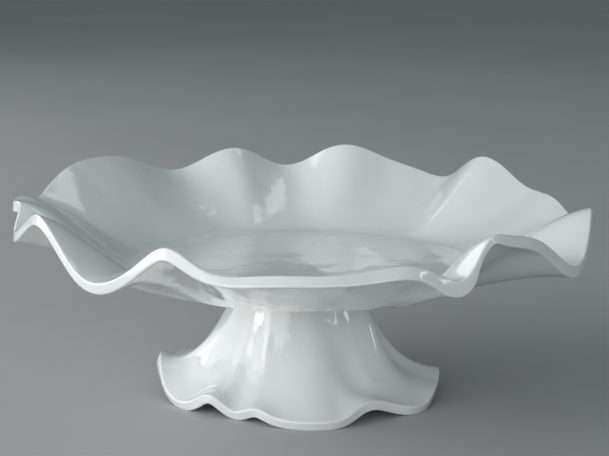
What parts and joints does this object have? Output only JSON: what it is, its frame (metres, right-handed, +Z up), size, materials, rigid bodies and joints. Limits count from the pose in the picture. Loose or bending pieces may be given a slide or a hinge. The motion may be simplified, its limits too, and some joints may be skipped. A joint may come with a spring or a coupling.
{
  "type": "pedestal cake stand",
  "caption": "Round cake stand with a deep ruffled rim on a hollow ruffled pedestal, the two mouldings joined at the neck by a hidden screw.",
  "frame": {"origin": "on the table, under the middle of the stand", "axes": "+Z up, -Y towards the front, +X to the right seen from the front"},
  "size_m": [0.3486, 0.3537, 0.1292],
  "materials": {
    "melamine": "high gloss cool white",
    "silicone": "translucent white, matte",
    "brass": "machined",
    "steel": "bright zinc plated"
  },
  "bodies": {
    "root": {"plate": "melamine", "pedestal": "melamine", "neck_gasket": "silicone", "threaded_insert": "brass", "assembly_screw": "steel", "flat_washer": "steel", "lock_washer": "steel"}
  },
  "joints": []
}
